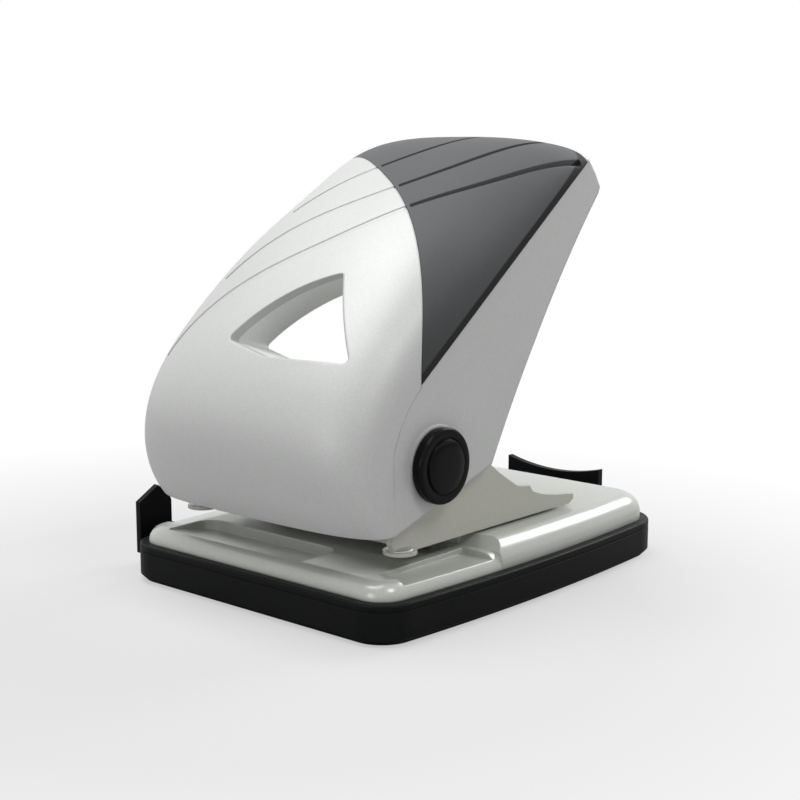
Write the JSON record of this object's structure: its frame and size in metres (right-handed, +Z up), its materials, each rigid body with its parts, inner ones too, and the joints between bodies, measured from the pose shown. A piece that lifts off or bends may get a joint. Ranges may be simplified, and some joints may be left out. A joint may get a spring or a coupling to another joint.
{
  "type": "two-hole desk punch",
  "caption": "Hand-pressed two-hole paper punch: satin silver hood handle with a grey grip pad and a window, on a silver base with a black skirt, paper guide and chip tray.",
  "frame": {"origin": "middle of the front wall of the skirt, on its underside", "axes": "+Z up, +X across the punch to its right, +Y from the paper side to the back"},
  "size_m": [0.1473, 0.1973, 0.1671],
  "materials": {
    "silver_paint": "satin",
    "silver_hood": "satin silver paint over moulded plastic",
    "frame_paint": "satin",
    "grey_rubber": "matte",
    "black_plastic": "satin",
    "black_gloss": "gloss",
    "steel": "brushed"
  },
  "bodies": {
    "base": {"base_skirt": "black_plastic", "base_shell": "silver_paint", "die_plate": "steel", "die_screws": "steel", "punch_frame": "frame_paint", "frame_rivets": "steel", "guide_bush_left": "steel", "guide_bush_right": "steel", "pivot_shaft": "steel", "shaft_clips": "steel", "guide_track": "black_plastic", "return_spring_left": "steel", "return_spring_right": "steel"},
    "handle": {"handle_shell": "silver_hood", "grip_pad": "grey_rubber", "window_sleeve": "silver_hood", "press_lever": "steel", "press_bar": "steel", "lever_screws": "steel", "pivot_bearing_right": "black_plastic", "pivot_bearing_left": "black_plastic", "pivot_cap_right": "black_gloss", "pivot_cap_left": "black_gloss"},
    "pin_left": {"punch_pin_left": "steel", "pin_collar_left": "steel"},
    "pin_right": {"punch_pin_right": "steel", "pin_collar_right": "steel"},
    "paper_guide": {"guide_bar": "black_plastic", "guide_stop": "black_plastic"},
    "tray": {"chip_tray": "black_plastic"}
  },
  "joints": [
    {"name": "handle_press", "type": "hinge", "parent": "base", "child": "handle", "pos_m": [0, 0.0334, 0.0554], "axis": [-1, 0, 0], "range_deg": [0, 40], "stiffness_Nm_per_rad": 0.5, "springref_deg": -28.65},
    {"name": "pin_left_slide", "type": "slide", "parent": "base", "child": "pin_left", "axis": [0, 0, -1], "range_m": [0, 0.0093], "deforming": ["return_spring_left"]},
    {"name": "pin_right_slide", "type": "slide", "parent": "base", "child": "pin_right", "axis": [0, 0, -1], "range_m": [0, 0.0093], "deforming": ["return_spring_right"]},
    {"name": "guide_slide", "type": "slide", "parent": "base", "child": "paper_guide", "axis": [-1, 0, 0], "range_m": [0, 0.06]},
    {"name": "tray_hinge", "type": "hinge", "parent": "base", "child": "tray", "pos_m": [0, 0.0113, 0.004], "axis": [-1, 0, 0], "range_deg": [0, 60]}
  ],
  "couplings": [
    {"joint": "pin_left_slide", "follows": "handle_press", "m_per_rad": 0.013227},
    {"joint": "pin_right_slide", "follows": "handle_press", "m_per_rad": 0.013227}
  ]
}
